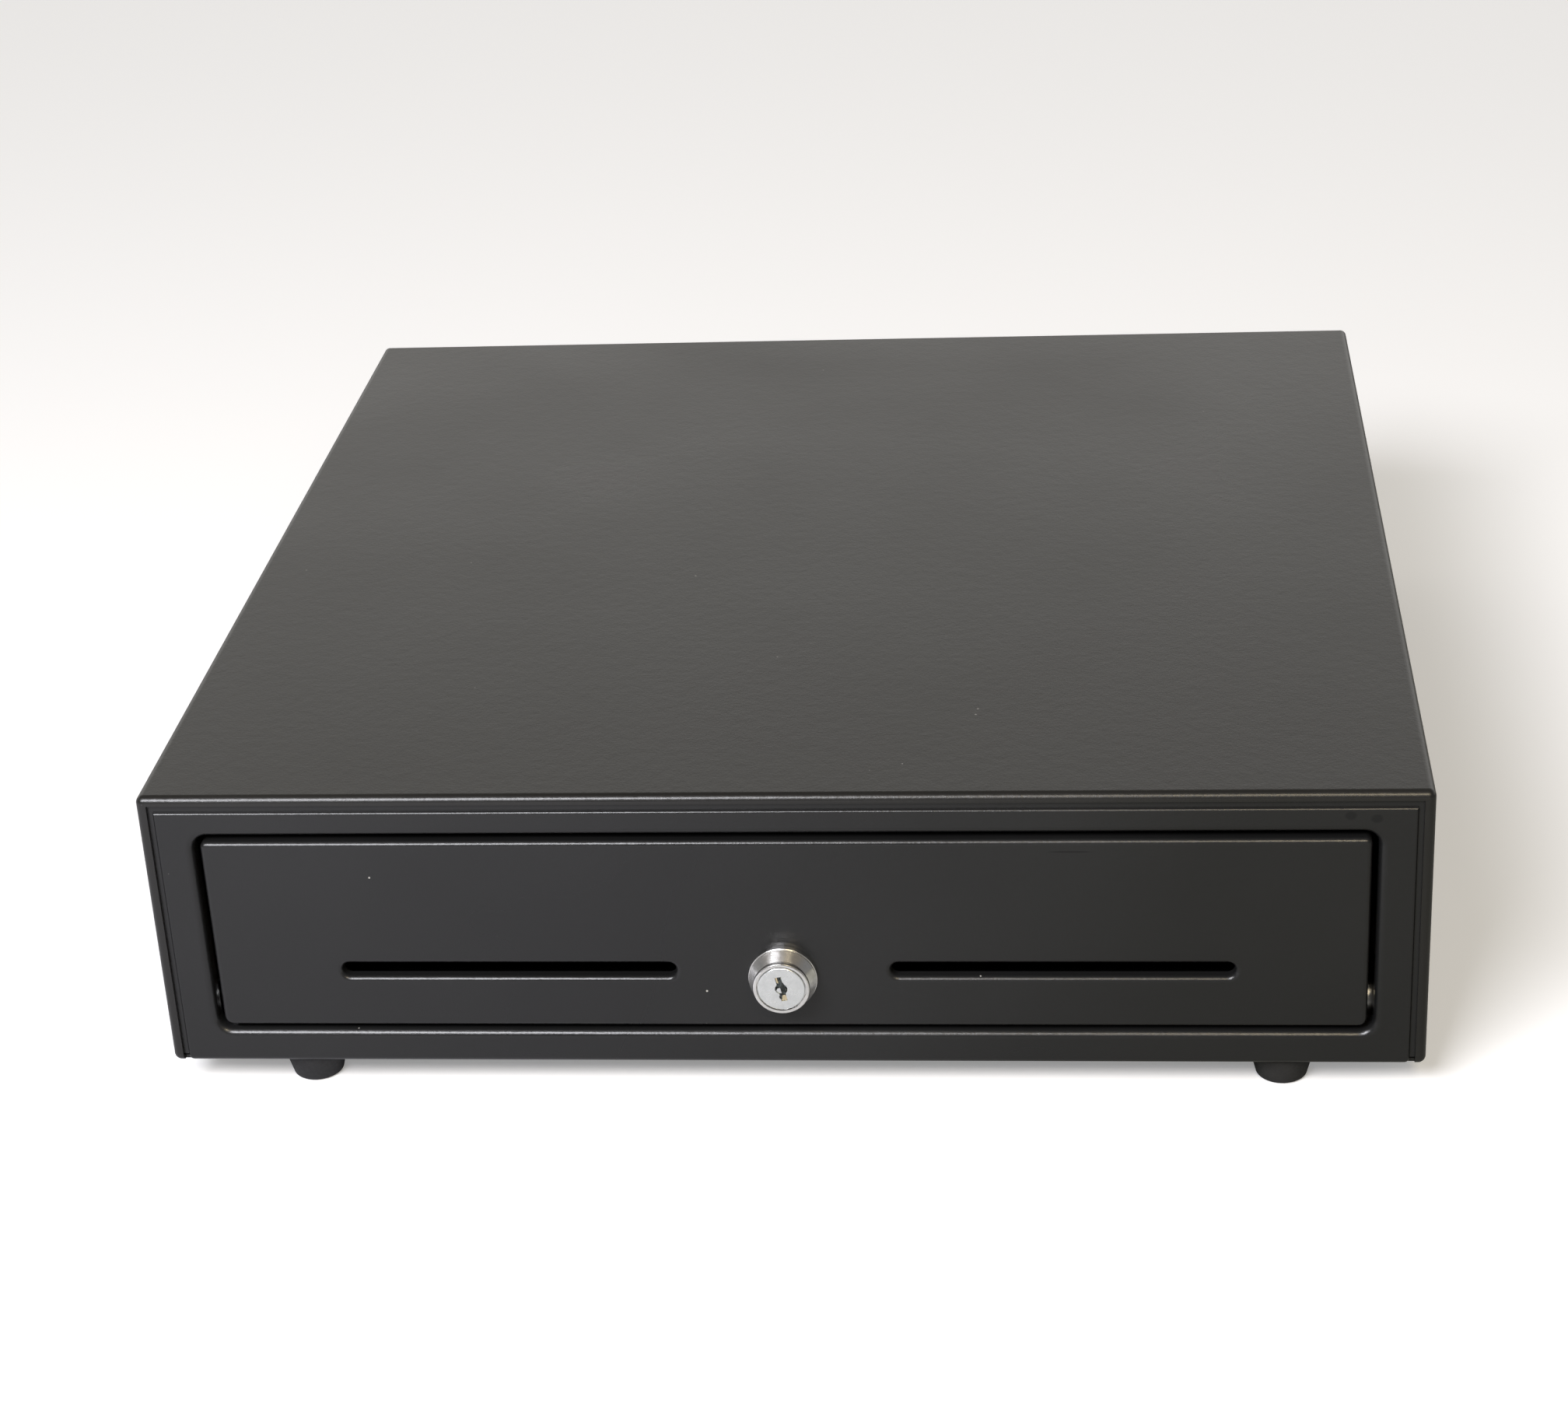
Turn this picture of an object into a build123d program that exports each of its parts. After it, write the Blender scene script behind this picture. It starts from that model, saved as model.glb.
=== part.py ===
from build123d import *
import os
from math import cos, radians, sin

# Cash drawer. A folded steel housing on rubber feet holds a drawer that runs on
# steel wheels. The drawer carries a till with note clips and a coin tray, and a
# key lock. A latch, a kick-out plunger and a sensor sit behind the drawer.
#
# Millimetres, +Z up, the front looks along -Y. X = 0 is the middle of the width.
# Y = 0 is midway between the face of the lock and the back of the housing.
# Z = 0 is the underside of the feet.
#
# Places are given as x, setback (distance behind the housing's front) and height
# (above the housing's underside), so they read like a drawing of the object.

os.makedirs("parts", exist_ok=True)

# ---- driving dimensions ----
width = 410
depth = 415
body_height = 98.8
foot_height = 11
lock_projection = 8

sheet = 1.2             # steel sheet of the housing and the drawer
seam = 0.1              # gap between sheets that lie together
fold = 2.5              # outer radius of the cover's folds
play = 0.05             # radial clearance of a pin in its hole

front_y = (lock_projection - depth) / 2
base_z = foot_height
half = width / 2
cover_inside = half - sheet
cover_lip_side = 3.5
cover_lip_top = 3.1
cover_flange = 11.2

# front frame
frame_face = 0.2                    # setback of the raised face
frame_half = 199.8
frame_top = 93.2
frame_edge = 1.0
border_setback = sheet + seam
border_half = 202.8
border_low = 2.4
border_top = 96.6
opening_width = 376.4
opening_low = 12.0
opening_top = 84.5
opening_corner = 5
opening_roll = 2.6
frame_foot_roll = 2.2
opening_return = 6.2
flange_half = 193.5
flange_depth = 28

# drawer front
panel_face = 0.3
panel_back = 9.0
panel_half = 186.0
panel_low = 14.0
panel_top = 82.2
panel_corner_low = 3.0
panel_corner_top = 2.0
panel_edge = 1.7
panel_lip = 12
media_x = 89.5
media_length = 109.5
media_gap = 5.1
media_height = 34.9
media_roll = 1.8
media_return = 4.3

# lock
lock_height = 33
lock_turn = 12                      # the keyway leans this far from upright
plug_radius = 6.9
plug_face_radius = 7.65
barrel_radius = 9.5
barrel_end = 24
shaft_radius = 2.5
cam_setback = 357
cam_reach = 12

# drawer
body_half = 182.5
body_low = 14
body_top = 78
body_front = panel_back + seam
body_back = 352
runner_web = body_half + seam
runner_flange = 187.0
runner_top = 40
runner_rear = 349

# wheels and rails
wheel_radius = 8
wheel_height = 14
axle_radius = 2.5
front_wheel_setback = 20
rear_wheel_setback = 338
rail_web = 201.1
rail_lip = 190.5
rail_front = 9
rail_rear = 385
base_wall = 202.4
base_wall_top = 40

# till
till_half = 180.5
till_front = 26
till_back = 348
till_low = 40
till_top = 77
till_wall = 1.8
till_split = 166                    # the wall between coins and notes starts here
note_count = 5
clip_setback = 340
clip_height = 72
clip_length = 68
clip_droop = 24.4                   # resting angle below level
clip_pin_radius = 2
coin_columns = 4
coin_rows = 2

# latch, kick-out, sensor and socket
latch_setback = 398
latch_height = 27
latch_release = 12                  # the hook is drawn lifted by this angle
striker_setback = 372
striker_height = 22
plunger_arm = 12                    # from the latch pin to the plunger's pin
solenoid_low = 42
solenoid_high = 74
ejector_x = -60
ejector_height = 45
switch_x = 60
socket_x = 140


# ---- helpers ----
def span(side, near, far):
    """The x values between two distances from the middle, on one side."""
    return (min(side * near, side * far), max(side * near, side * far))


def facing_front(setback, x=0, height=0):
    """A plane that looks out of the front: its x is +X and its y is up."""
    origin = (x, front_y + setback, base_z + height)
    return Plane(origin, x_dir=(1, 0, 0), z_dir=(0, -1, 0))


def facing_up(height, x=0, setback=0):
    """A level plane: its x is +X and its y goes to the back."""
    return Plane((x, front_y + setback, base_z + height))


def facing_right(x, setback=0, height=0):
    """A plane that looks along +X: its x goes to the back and its y is up."""
    origin = (x, front_y + setback, base_z + height)
    return Plane(origin, x_dir=(0, 1, 0), z_dir=(1, 0, 0))


def turned(plane, degrees):
    """The same plane, turned about its own normal."""
    x_dir = plane.x_dir * cos(radians(degrees)) + plane.y_dir * sin(radians(degrees))
    return Plane(plane.origin, x_dir=x_dir, z_dir=plane.z_dir)


def block(x, setback, height, mode=Mode.ADD):
    """A box between two values of x, of setback and of height."""
    size = (x[1] - x[0], setback[1] - setback[0], height[1] - height[0])
    with Locations((x[0], front_y + setback[0], base_z + height[0])):
        return Box(*size, align=Align.MIN, mode=mode)


def on_axis(plane, radius, length, mode):
    """A cylinder that starts on a plane and stands on it."""
    with Locations(plane):
        return Cylinder(
            radius,
            length,
            align=(Align.CENTER, Align.CENTER, Align.MIN),
            mode=mode,
        )


def post(x, setback, height, radius, mode=Mode.ADD):
    """An upright cylinder between two heights."""
    plane = facing_up(height[0], x, setback)
    return on_axis(plane, radius, height[1] - height[0], mode)


def rod(x, setback, height, radius, mode=Mode.ADD):
    """A cylinder along X between two values of x."""
    plane = facing_right(x[0], setback, height)
    return on_axis(plane, radius, x[1] - x[0], mode)


def peg(x, setback, height, radius, mode=Mode.ADD):
    """A cylinder along Y between two setbacks."""
    plane = facing_front(setback[1], x, height)
    return on_axis(plane, radius, setback[1] - setback[0], mode)


def cross(x, setback, height, reach, half_width, sunk):
    """A cross recess cut up into a screw head whose face is at a height."""
    heights = (height - 1, height + sunk)
    long_x = (x - reach, x + reach)
    short_x = (x - half_width, x + half_width)
    long_setback = (setback - reach, setback + reach)
    short_setback = (setback - half_width, setback + half_width)
    block(long_x, short_setback, heights, Mode.SUBTRACT)
    block(short_x, long_setback, heights, Mode.SUBTRACT)


def save(piece, name):
    """Labels a finished piece and writes it as a STEP file."""
    piece.part.label = name
    export_step(piece.part, f"parts/{name}.step")


sides = (-1, 1)
foot_x = 160
foot_setback = 14
foot_setbacks = (foot_setback, depth - foot_setback)
foot_places = [(side * foot_x, setback) for side in sides for setback in foot_setbacks]
foot_screw_radius = 2
screw_radius = 1.5
side_screw_places = [(side * 198.5, setback) for side in sides for setback in (60, 207.5, 355)]
end_screw_places = [(side * 100, setback) for side in sides for setback in (20, depth - 20)]
mechanism_screw_places = (
    [(side * 11.5, 392) for side in sides]
    + [(ejector_x + side * 9, 395) for side in sides]
    + [(switch_x + offset, 364) for offset in (4, 20)]
)

# ---- housing ----
# Top and both sides in one folded sheet, with narrow lips at the front and
# inward flanges at the foot of each side.
with BuildPart() as top_cover:
    block((-half, half), (0, depth), (0, body_height))
    long_edges = top_cover.edges().filter_by(Axis.Y)
    front_edges = top_cover.faces().sort_by(Axis.Y)[0].edges()
    fillet(long_edges + front_edges, fold)
    offset(amount=-sheet, openings=top_cover.faces().sort_by(Axis.Y)[-1])
    lip_x = half - cover_lip_side
    block((-lip_x, lip_x), (-1, fold), (-1, body_height - cover_lip_top), Mode.SUBTRACT)
    flange_x = half - cover_flange
    block((-flange_x, flange_x), (-1, depth + 1), (-1, fold), Mode.SUBTRACT)
    for x, setback in side_screw_places:
        post(x, setback, (-1, fold), screw_radius + play, Mode.SUBTRACT)
save(top_cover, "top_cover")

# Raised face with a rolled opening, a border set back behind the cover's lips and
# a flange under the base.
opening_height = opening_top - opening_low
opening_plane = facing_front(opening_return, 0, (opening_top + opening_low) / 2)
with BuildPart() as front_frame:
    border_back = border_setback + sheet
    block((-border_half, border_half), (border_setback, border_back), (border_low, border_top))
    block((-frame_half, frame_half), (frame_face, border_back), (0, frame_top))
    block((-flange_half, flange_half), (frame_face, flange_depth), (0, sheet))
    face_edges = front_frame.faces().sort_by(Axis.Y)[0].edges().sort_by(Axis.Z)
    fillet(face_edges[1:], frame_edge)
    face_edges = front_frame.faces().sort_by(Axis.Y)[0].edges().sort_by(Axis.Z)
    fillet(face_edges[0], frame_foot_roll)
    web_x = frame_half - sheet
    block(
        (-web_x, web_x),
        (frame_face + sheet, border_back),
        (sheet, frame_top - sheet),
        Mode.SUBTRACT,
    )
    ring_depth = opening_return - frame_face
    with BuildSketch(opening_plane):
        RectangleRounded(
            opening_width + 2 * sheet,
            opening_height + 2 * sheet,
            opening_corner + sheet,
        )
    extrude(amount=ring_depth)
    with BuildSketch(opening_plane):
        RectangleRounded(opening_width, opening_height, opening_corner)
    extrude(amount=ring_depth + 1, mode=Mode.SUBTRACT)
    fillet(front_frame.faces().sort_by(Axis.Y)[0].inner_wires()[0].edges(), opening_roll)
    for x, setback in foot_places:
        post(x, setback, (-1, fold), foot_screw_radius + play, Mode.SUBTRACT)
    for x, setback in end_screw_places:
        post(x, setback, (-1, fold), screw_radius + play, Mode.SUBTRACT)
save(front_frame, "front_frame")

socket_half = 6.8
socket_low = 17.1
socket_top = 30.1
back_half = cover_inside - seam
back_face = depth - sheet - seam
back_top = body_height - sheet - seam
back_corner = 2.3
back_return = 401                   # setback where the back's flanges begin
with BuildPart() as back_panel:
    block((-back_half, back_half), (back_face - sheet, back_face), (border_setback, back_top))
    fillet(back_panel.edges().filter_by(Axis.Y), back_corner)
    block((-flange_half, flange_half), (back_face - sheet, back_face), (0, fold))
    block((-flange_half, flange_half), (depth - flange_depth, back_face), (0, sheet))
    back_flange = (back_return, back_face)
    block((-rail_web, rail_web), back_flange, (back_top - sheet, back_top))
    for side in sides:
        block(span(side, back_half - sheet, back_half), back_flange, (4, back_top - back_corner))
    block(
        (socket_x - socket_half - 0.4, socket_x + socket_half + 0.4),
        (back_face - 2 * sheet, back_face + 1),
        (socket_low - 0.3, socket_top + 0.4),
        Mode.SUBTRACT,
    )
    for x, setback in foot_places:
        post(x, setback, (-1, fold), foot_screw_radius + play, Mode.SUBTRACT)
    for x, setback in end_screw_places + mechanism_screw_places:
        post(x, setback, (-1, fold), screw_radius + play, Mode.SUBTRACT)
save(back_panel, "back_panel")

# Floor with upturned sides that carry the slide rails, and four holes for
# fixing the cash drawer to a counter.
fixing_x = 170
fixing_setbacks = (57.5, 357.5)
fixing_radius = 2.75
floor_low = sheet + seam
floor_top = floor_low + sheet
rail_rivet_setbacks = (60, 150, 240, 360)
with BuildPart() as base_pan:
    wall_out = base_wall + sheet
    block((-wall_out, wall_out), (8, 399), (floor_low, base_wall_top))
    fillet(base_pan.edges().filter_by(Axis.Y).group_by(Axis.Z)[0], 2)
    block((-base_wall, base_wall), (7, 400), (floor_top, base_wall_top + 1), Mode.SUBTRACT)
    block((-201, 201), (3, back_face - sheet - seam), (floor_low, floor_top))
    for x, setback in foot_places:
        post(x, setback, (0, 4), foot_screw_radius + play, Mode.SUBTRACT)
    for x, setback in side_screw_places + end_screw_places + mechanism_screw_places:
        post(x, setback, (0, 4), screw_radius + play, Mode.SUBTRACT)
    for x in (-fixing_x, fixing_x):
        for setback in fixing_setbacks:
            post(x, setback, (0, 4), fixing_radius, Mode.SUBTRACT)
    for side in sides:
        for setback in rail_rivet_setbacks:
            rod(
                span(side, base_wall - 1, wall_out + 1),
                setback,
                wheel_height,
                screw_radius + play,
                Mode.SUBTRACT,
            )
save(base_pan, "base_pan")

# Rubber foot: a blunt cone with a recess for its screw.
foot_tip_radius = 8.2
foot_root_radius = 11
foot_recess = 5
with BuildPart() as feet:
    for x, setback in foot_places:
        with BuildSketch(facing_up(-foot_height, x, setback)):
            Circle(foot_tip_radius)
        with BuildSketch(facing_up(0, x, setback)):
            Circle(foot_root_radius)
        loft()
        post(x, setback, (-foot_height - 1, -foot_height + foot_recess), 5, Mode.SUBTRACT)
        post(x, setback, (-foot_height, 1), foot_screw_radius + play, Mode.SUBTRACT)
    low_edges = feet.edges().filter_by(GeomType.CIRCLE).group_by(Axis.Z)[0]
    fillet(low_edges.sort_by(SortBy.RADIUS)[len(foot_places):], 1)
save(feet, "feet")

with BuildPart() as foot_screws:
    head_top = foot_recess - foot_height
    head_low = head_top - 2.8
    for x, setback in foot_places:
        post(x, setback, (head_low, head_top), 4)
        post(x, setback, (head_top, 8), foot_screw_radius)
        cross(x, setback, head_low, 3, 0.5, 1.2)
save(foot_screws, "foot_screws")

with BuildPart() as foot_nuts:
    for x, setback in foot_places:
        with BuildSketch(facing_up(floor_top + seam, x, setback)):
            RegularPolygon(4.04, 6)
            Circle(foot_screw_radius + play, mode=Mode.SUBTRACT)
        extrude(amount=3.2)
save(foot_nuts, "foot_nuts")

# Screws that join the base to the cover's, the frame's and the back panel's flanges.
with BuildPart() as base_screws:
    for x, setback in side_screw_places + end_screw_places:
        post(x, setback, (-2, -0.05), 3)
        post(x, setback, (-0.5, 4.2), screw_radius)
        cross(x, setback, -2, 2.2, 0.4, 0.9)
save(base_screws, "base_screws")

# ---- slides ----
rail_low = wheel_height - wheel_radius - play - sheet
rail_high = wheel_height + wheel_radius + 3 * play + sheet
rail_back = rail_web + sheet
stop_setback = (28, 28 + sheet)


def make_rail(side):
    """A fixed channel, open towards the drawer, with a bent-up stop near its front."""
    with BuildPart() as rail:
        block(span(side, rail_lip, rail_back), (rail_front, rail_rear), (rail_low, rail_high))
        outer_edges = rail.edges().filter_by(Axis.Y).sort_by(Axis.X)
        fillet(outer_edges[-2:] if side > 0 else outer_edges[:2], 1.8)
        block(
            span(side, rail_lip - 1, rail_web),
            (rail_front - 1, rail_rear + 1),
            (rail_low + sheet, rail_high - sheet),
            Mode.SUBTRACT,
        )
        block(span(side, rail_lip + 1.5, rail_back - 1), stop_setback, (rail_low, 11))
        rod(
            span(side, rail_web - 2, rail_back + 1),
            front_wheel_setback,
            wheel_height,
            axle_radius + play,
            Mode.SUBTRACT,
        )
        for setback in rail_rivet_setbacks:
            rod(
                span(side, rail_web - 2, rail_back + 1),
                setback,
                wheel_height,
                screw_radius + play,
                Mode.SUBTRACT,
            )
    return rail


left_rail = make_rail(-1)
right_rail = make_rail(1)
save(left_rail, "left_rail")
save(right_rail, "right_rail")

with BuildPart() as rail_rivets:
    for side in sides:
        for setback in rail_rivet_setbacks:
            rod(span(side, rail_web - 1.1, rail_web - play), setback, wheel_height, 3)
            rod(span(side, rail_web - 1, base_wall + sheet), setback, wheel_height, screw_radius)
save(rail_rivets, "rail_rivets")

with BuildPart() as rail_buffers:
    for side in sides:
        block(span(side, 191, 200.5), (346.6, 354), (wheel_height - 7.9, wheel_height + 8))
    fillet(rail_buffers.edges().filter_by(Axis.X), 1.5)
save(rail_buffers, "rail_buffers")

tread_width = 5
hub_radius = 4.5
front_tread = 185
rear_tread = 191.6


def make_roller(side, setback, tread, hub):
    """A ball-bearing wheel with a long hub, on an axle along X."""
    with BuildPart() as roller:
        rod(span(side, tread, tread + tread_width), setback, wheel_height, wheel_radius)
        fillet(roller.edges().filter_by(GeomType.CIRCLE), 0.6)
        rod(span(side, *hub), setback, wheel_height, hub_radius)
        for face in (tread, tread + tread_width):
            ring = facing_right(side * face, setback, wheel_height)
            with BuildSketch(ring):
                Circle(6.4)
                Circle(5.2, mode=Mode.SUBTRACT)
            extrude(amount=0.5, both=True, mode=Mode.SUBTRACT)
        bore = span(side, min(tread, hub[0]) - 1, max(tread + tread_width, hub[1]) + 1)
        rod(bore, setback, wheel_height, axle_radius + play, Mode.SUBTRACT)
    return roller


front_hub = (front_tread + 1, rail_web - 0.2)
rear_hub = (runner_web + sheet + 0.3, rear_tread + tread_width + 0.4)
front_roller_left = make_roller(-1, front_wheel_setback, front_tread, front_hub)
front_roller_right = make_roller(1, front_wheel_setback, front_tread, front_hub)
rear_roller_left = make_roller(-1, rear_wheel_setback, rear_tread, rear_hub)
rear_roller_right = make_roller(1, rear_wheel_setback, rear_tread, rear_hub)
save(front_roller_left, "front_roller_left")
save(front_roller_right, "front_roller_right")
save(rear_roller_left, "rear_roller_left")
save(rear_roller_right, "rear_roller_right")

with BuildPart() as front_roller_axles:
    for side in sides:
        rod(span(side, front_tread - 0.9, front_tread - 0.1), front_wheel_setback, wheel_height, 4)
        rod(span(side, front_tread - 0.5, rail_back), front_wheel_setback, wheel_height, axle_radius)
save(front_roller_axles, "front_roller_axles")

rear_axle_end = rear_hub[1] + 0.1
with BuildPart() as rear_roller_axles:
    for side in sides:
        rod(span(side, runner_web, rear_axle_end + 0.5), rear_wheel_setback, wheel_height, axle_radius)
        rod(span(side, rear_axle_end, rear_axle_end + 1), rear_wheel_setback, wheel_height, 3.6)
save(rear_roller_axles, "rear_roller_axles")

runner_rivet_setbacks = (40, 130, 220, 310)
runner_rivet_height = 31
rivet_radius = 1.6
flange_low = wheel_height + wheel_radius + play


def make_runner(side):
    """An angle on the drawer's side whose flange runs on the front wheel."""
    with BuildPart() as runner:
        web = span(side, runner_web, runner_web + sheet)
        block(web, (11, runner_rear), (flange_low, runner_top))
        block(span(side, runner_web, runner_flange), (11, runner_rear), (flange_low, flange_low + sheet))
        block(web, (rear_wheel_setback - 12, runner_rear), (wheel_height - 6, runner_top))
        chamfer(runner.edges().filter_by(Axis.X).group_by(Axis.Z)[0], 3)
        through = span(side, runner_web - 1, runner_web + 2 * sheet)
        rod(through, rear_wheel_setback, wheel_height, axle_radius + play, Mode.SUBTRACT)
        for setback in runner_rivet_setbacks:
            rod(through, setback, runner_rivet_height, rivet_radius + play, Mode.SUBTRACT)
    return runner


left_runner = make_runner(-1)
right_runner = make_runner(1)
save(left_runner, "left_runner")
save(right_runner, "right_runner")

with BuildPart() as runner_rivets:
    for side in sides:
        for setback in runner_rivet_setbacks:
            inner = body_half - sheet
            outer = runner_web + sheet
            rod(span(side, inner - 1, inner - play), setback, runner_rivet_height, 3)
            rod(span(side, inner - 0.5, outer + 0.5), setback, runner_rivet_height, rivet_radius)
            rod(span(side, outer + play, outer + 1), setback, runner_rivet_height, 3)
save(runner_rivets, "runner_rivets")

# ---- drawer ----
panel_inside = panel_half - sheet
lip_notch = 16
panel_rivet_places = [(x, height) for x in (-165, -60, 60, 165) for height in (21, 74.5)]
with BuildPart() as drawer_front:
    block((-panel_half, panel_half), (panel_face, panel_back), (panel_low, panel_top))
    corner_edges = drawer_front.edges().filter_by(Axis.Y).group_by(Axis.Z)
    fillet(corner_edges[0], panel_corner_low)
    fillet(drawer_front.edges().filter_by(Axis.Y).group_by(Axis.Z)[-1], panel_corner_top)
    fillet(drawer_front.faces().sort_by(Axis.Y)[0].edges(), panel_edge)
    block(
        (-panel_inside, panel_inside),
        (panel_face + sheet, panel_back + 1),
        (panel_low + sheet, panel_top - sheet),
        Mode.SUBTRACT,
    )
    lip = (panel_back - sheet, panel_back)
    block((-180, 180), lip, (panel_top - panel_lip, panel_top - sheet / 2))
    block((-180, 180), lip, (panel_low + sheet / 2, panel_low + panel_lip))
    block((-lip_notch, lip_notch), (3, 10), (panel_low + sheet, panel_low + 20), Mode.SUBTRACT)
    for side in sides:
        media_plane = facing_front(media_return, side * media_x, media_height)
        with BuildSketch(media_plane):
            SlotOverall(media_length + 2 * sheet, media_gap + 2 * sheet)
        extrude(amount=media_return - panel_face)
        with BuildSketch(media_plane):
            SlotOverall(media_length, media_gap)
        extrude(amount=media_return + 1, mode=Mode.SUBTRACT)
    for wire in drawer_front.faces().sort_by(Axis.Y)[0].inner_wires():
        fillet(wire.edges(), media_roll)
    peg(0, (-1, 5), lock_height, barrel_radius + seam, Mode.SUBTRACT)
    for x, height in panel_rivet_places:
        peg(x, (5, 10), height, rivet_radius + play, Mode.SUBTRACT)
save(drawer_front, "drawer_front")

with BuildPart() as drawer_body:
    block((-body_half, body_half), (body_front, body_back), (body_low, body_top))
    fillet(drawer_body.edges().filter_by(Axis.Z), 1.5)
    block(
        (sheet - body_half, body_half - sheet),
        (body_front + sheet, body_back - sheet),
        (body_low + sheet, body_top + 1),
        Mode.SUBTRACT,
    )
    for side in sides:
        with BuildSketch(facing_front(12, side * media_x, media_height)):
            SlotOverall(media_length + 6, media_gap + 8)
        extrude(amount=6, mode=Mode.SUBTRACT)
        for setback in runner_rivet_setbacks:
            through = span(side, body_half - 2, body_half + 1)
            rod(through, setback, runner_rivet_height, rivet_radius + play, Mode.SUBTRACT)
    peg(0, (5, 15), lock_height, barrel_radius + 1, Mode.SUBTRACT)
    peg(0, (345, 355), lock_height, 5 + play, Mode.SUBTRACT)
    for x, height in panel_rivet_places:
        peg(x, (5, 15), height, rivet_radius + play, Mode.SUBTRACT)
save(drawer_body, "drawer_body")

with BuildPart() as panel_rivets:
    wall_back = body_front + sheet
    for x, height in panel_rivet_places:
        peg(x, (panel_back - sheet - 1, panel_back - sheet - play), height, 3)
        peg(x, (panel_back - sheet - 0.5, wall_back + 0.5), height, rivet_radius)
        peg(x, (wall_back + play, wall_back + 1), height, 3)
save(panel_rivets, "panel_rivets")

ledge_low = 34.6
with BuildPart() as till_ledges:
    ledge_top = till_low - 0.2
    for side in sides:
        wall = body_half - sheet - seam
        block(span(side, 172, wall), (30, 345), (ledge_top - sheet, ledge_top))
        block(span(side, wall - sheet, wall), (30, 345), (ledge_low, ledge_top))
save(till_ledges, "till_ledges")

# Bracket behind the drawer: two ears hold the pin that the latch hook catches.
with BuildPart() as striker:
    plate_front = body_back + seam
    block((-14, 14), (plate_front, plate_front + 1.5), (14.5, 24.5))
    for side in sides:
        block(span(side, 9.5, 11), (plate_front, striker_setback + 6), (16.5, striker_height + 5))
    rod((-12, 12), striker_setback, striker_height, 2)
    fillet(striker.edges().filter_by(Axis.X).group_by(Axis.Y)[-1], 2)
save(striker, "striker")

# ---- lock ----
face_setback = -lock_projection
flange_setback = face_setback + 1.5
with BuildPart() as lock_body:
    with BuildSketch(Plane.YZ):
        with BuildLine():
            profile = [
                (flange_setback, plug_radius + play),
                (flange_setback, 8.0),
                (face_setback, 8.0),
                (face_setback, 8.8),
                (face_setback + 0.4, 9.2),
                (-2.3, 10.3),
                (-2.3, 9.7),
                (-1.6, 9.7),
                (-1.6, 10.75),
                (-1.2, 11.15),
                (0.25, 11.15),
                (0.25, barrel_radius),
                (barrel_end, barrel_radius),
                (barrel_end, plug_radius + play),
            ]
            points = [(front_y + setback, base_z + lock_height + r) for setback, r in profile]
            Polyline(*points, close=True)
        make_face()
    axis_origin = (0, front_y, base_z + lock_height)
    revolve(axis=Axis(axis_origin, (0, 1, 0)))
save(lock_body, "lock_body")

lock_plane = turned(facing_front(face_setback, 0, lock_height), lock_turn)
with BuildPart() as lock_plug:
    peg(0, (face_setback, flange_setback - play), lock_height, plug_face_radius)
    fillet(lock_plug.edges().filter_by(GeomType.CIRCLE).sort_by(Axis.Y)[0], 0.3)
    peg(0, (face_setback + 1, barrel_end - 2), lock_height, plug_radius)
    with BuildSketch(lock_plane):
        Circle(2.0)
        Rectangle(2.0, 8.8)
        with Locations((0.75, 1.4)):
            Rectangle(1.1, 1.5)
        with Locations((-0.75, -2.9)):
            Rectangle(1.1, 1.2)
    extrude(amount=-14, mode=Mode.SUBTRACT)
save(lock_plug, "lock_plug")

with BuildPart() as lock_shaft:
    peg(0, (barrel_end - 1.9, 361.5), lock_height, shaft_radius)
    peg(0, (cam_setback - 1, cam_setback + 3.5), lock_height, 4.5)
    with BuildSketch(turned(facing_front(cam_setback + 2.5, 0, lock_height), lock_turn)):
        Circle(4.5)
        with Locations((0, (cam_reach - 4) / 2)):
            Rectangle(8, cam_reach - 4)
        with Locations((0, cam_reach - 4)):
            Circle(4)
    extrude(amount=2.5)
save(lock_shaft, "lock_shaft")

with BuildPart() as lock_nut:
    with BuildSketch(facing_front(5.6, 0, lock_height)):
        RegularPolygon(13.2, 6)
        Circle(barrel_radius + play, mode=Mode.SUBTRACT)
    extrude(amount=4)
save(lock_nut, "lock_nut")

with BuildPart() as shaft_guide:
    peg(0, (348, body_back + 0.5), lock_height, 5)
    peg(0, (body_back + play, body_back + 1.8), lock_height, 8)
    peg(0, (340, 360), lock_height, shaft_radius + play, Mode.SUBTRACT)
save(shaft_guide, "shaft_guide")

# ---- till ----
note_width = (2 * till_half - (note_count + 1) * till_wall) / note_count
note_pitch = note_width + till_wall
note_middles = [(index - (note_count - 1) / 2) * note_pitch for index in range(note_count)]
till_floor = till_low + till_wall
coin_back = till_split - till_wall
ear_gap = 9.2                       # from a clip's middle to its ears
ear_width = 2.5
note_scoop = 14                     # the floor curves up at the front of each compartment


def make_note_hollow(middle):
    """The space for one stack of notes."""
    with BuildPart() as hollow:
        block(
            (middle - note_width / 2, middle + note_width / 2),
            (till_split, till_back - till_wall),
            (till_floor, till_top + 5),
        )
        low_front = hollow.edges().filter_by(Axis.X).group_by(Axis.Z)[0].sort_by(Axis.Y)[0]
        fillet(low_front, note_scoop)
    return hollow.part


def make_coin_well():
    """The space for the coin tray."""
    with BuildPart() as well:
        block(
            (till_wall - till_half, till_half - till_wall),
            (till_front + till_wall, coin_back),
            (till_floor, till_top + 5),
        )
        fillet(well.edges().filter_by(Axis.Z), 2.5)
    return well.part


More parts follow.
